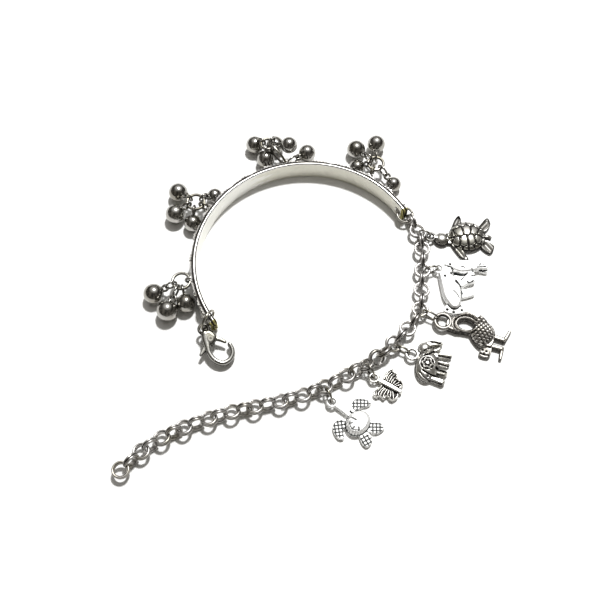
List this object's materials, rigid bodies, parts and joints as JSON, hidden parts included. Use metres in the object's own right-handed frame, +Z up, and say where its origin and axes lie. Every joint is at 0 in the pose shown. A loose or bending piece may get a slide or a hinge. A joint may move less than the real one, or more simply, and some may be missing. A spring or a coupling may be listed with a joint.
{
  "type": "charm bracelet",
  "caption": "Open half-cuff charm bracelet with clusters of small metal balls outside the bar, a lobster clasp, and a round-link chain hung with cast animal charms.",
  "frame": {"origin": "middle of the laid-out bracelet's footprint, on the surface it lies on", "axes": "+Z up from the surface; +Y toward the closed side of the cuff; +X toward the charms"},
  "size_m": [0.104, 0.1034, 0.0091],
  "materials": {
    "cuff": "satin antiqued silver plate",
    "balls": "polished dark steel",
    "rings": "polished wire",
    "chain": "polished antiqued silver plate",
    "charms": "cast, bright on the high places and dark in the recesses",
    "clasp": "polished silver plate"
  },
  "bodies": {
    "bracelet": {"cuff": "cuff", "ball_1": "balls", "ball_2": "balls", "ball_3": "balls", "ball_4": "balls", "ball_5": "balls", "ball_6": "balls", "ball_7": "balls", "ball_8": "balls", "ball_9": "balls", "ball_10": "balls", "ball_11": "balls", "ball_12": "balls", "ball_13": "balls", "ball_14": "balls", "ball_15": "balls", "ball_16": "balls", "cluster_ring_1": "rings", "cluster_ring_2": "rings", "cluster_link_2": "rings", "cluster_ring_3": "rings", "cluster_link_3": "rings", "cluster_ring_4": "rings", "cluster_link_4": "rings", "chain_01": "chain", "chain_02": "chain", "chain_03": "chain", "chain_04": "chain", "chain_05": "chain", "chain_06": "chain", "chain_07": "chain", "chain_08": "chain", "chain_09": "chain", "chain_10": "chain", "chain_11": "chain", "chain_12": "chain", "chain_13": "chain", "end_ring": "rings", "clasp_ring": "rings", "clasp_body": "clasp", "charm_turtle_scuted": "charms", "charm_ring_1": "rings", "charm_dolphins": "charms", "charm_ring_2": "rings", "charm_bird": "charms", "charm_ring_3": "rings", "charm_elephant": "charms", "charm_ring_4": "rings", "charm_butterfly": "charms", "charm_ring_5": "rings", "charm_turtle_checked": "charms", "charm_ring_6": "rings"},
    "lever": {"clasp_lever": "clasp"}
  },
  "joints": [
    {"name": "clasp_lever_hinge", "type": "hinge", "parent": "bracelet", "child": "lever", "pos_m": [-0.02875, -0.01411, 0.00305], "axis": [-0.1167, 0.1493, -0.9819], "range_deg": [0, 25], "stiffness_Nm_per_rad": 0.002, "springref_deg": -20.05}
  ]
}
